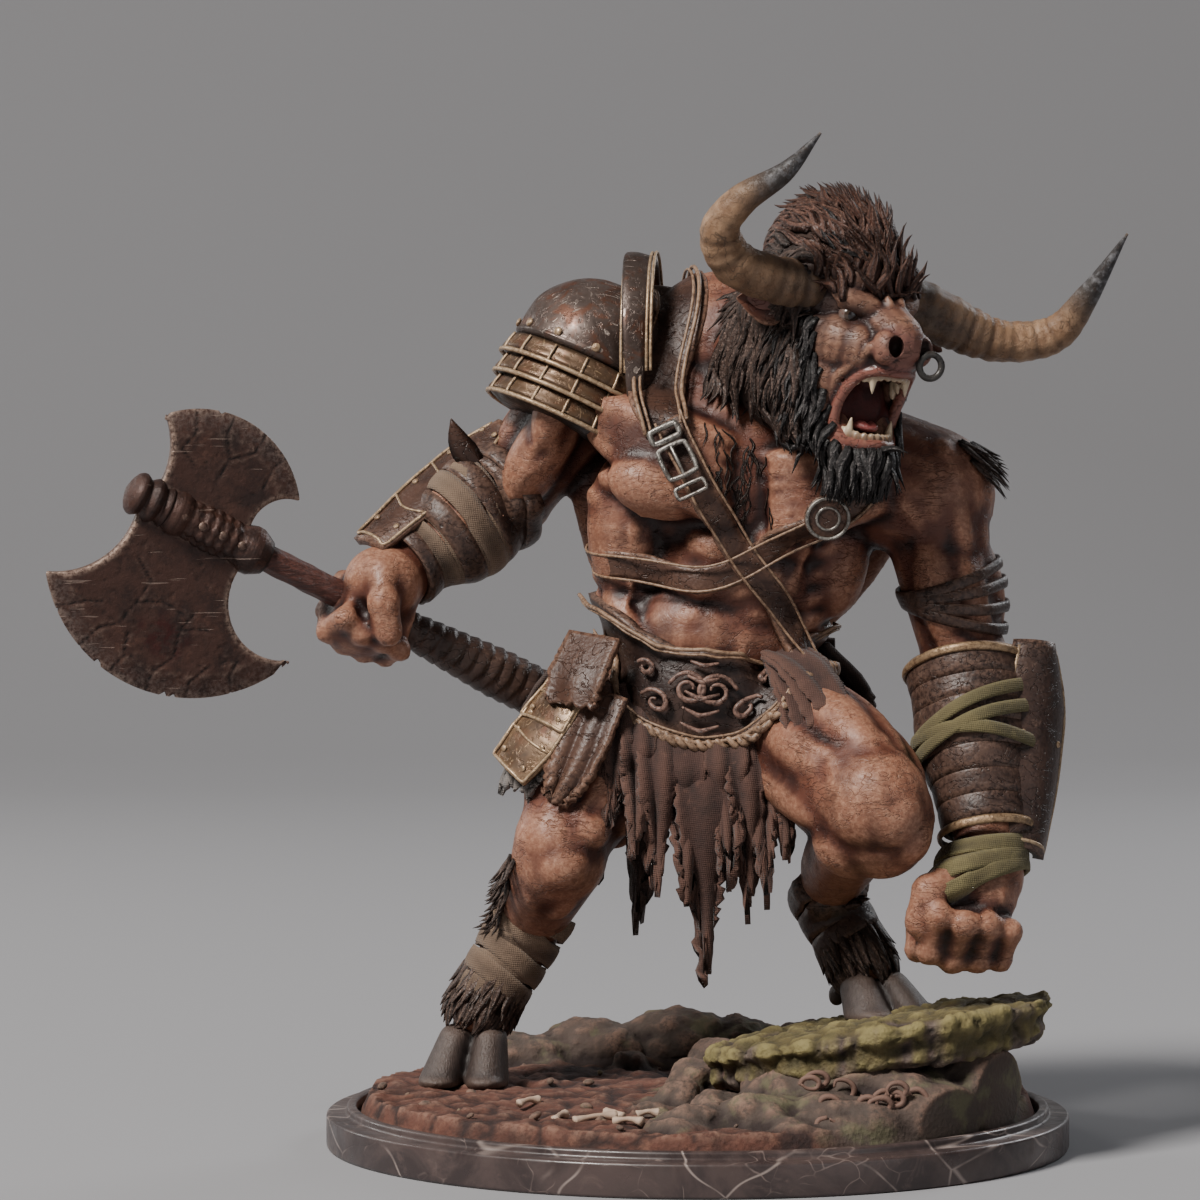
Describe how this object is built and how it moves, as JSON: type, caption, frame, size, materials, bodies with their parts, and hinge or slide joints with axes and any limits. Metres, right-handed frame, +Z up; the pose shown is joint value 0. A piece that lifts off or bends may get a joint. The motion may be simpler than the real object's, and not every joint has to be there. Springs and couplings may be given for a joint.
{
  "type": "minotaur miniature figure",
  "caption": "Painted resin miniature of a roaring minotaur that grips a double-bitted axe, standing on rocky groundwork set in a round display plinth.",
  "frame": {"origin": "centre of the plinth's flat underside", "axes": "+Z up, +Y behind the figure, so that its chest faces -Y, and +X to its own left, away from the axe"},
  "size_m": [0.1141, 0.08, 0.1064],
  "materials": {
    "figure_paint": "painted cast resin: skin in washed reddish browns, with leather, iron, cloth, hair and horn picked out, satin to matt",
    "axe_paint": "resin painted as dark pitted iron with dry-brushed edges, and a wrapped grip",
    "ground_paint": "painted cast earth, rock and yellow-green moss, matt",
    "plinth_resin": "dark brown-grey resin with pale veins, polished like stone"
  },
  "bodies": {
    "root": {"figure": "figure_paint", "axe": "axe_paint", "groundwork": "ground_paint", "plinth": "plinth_resin"}
  },
  "joints": []
}
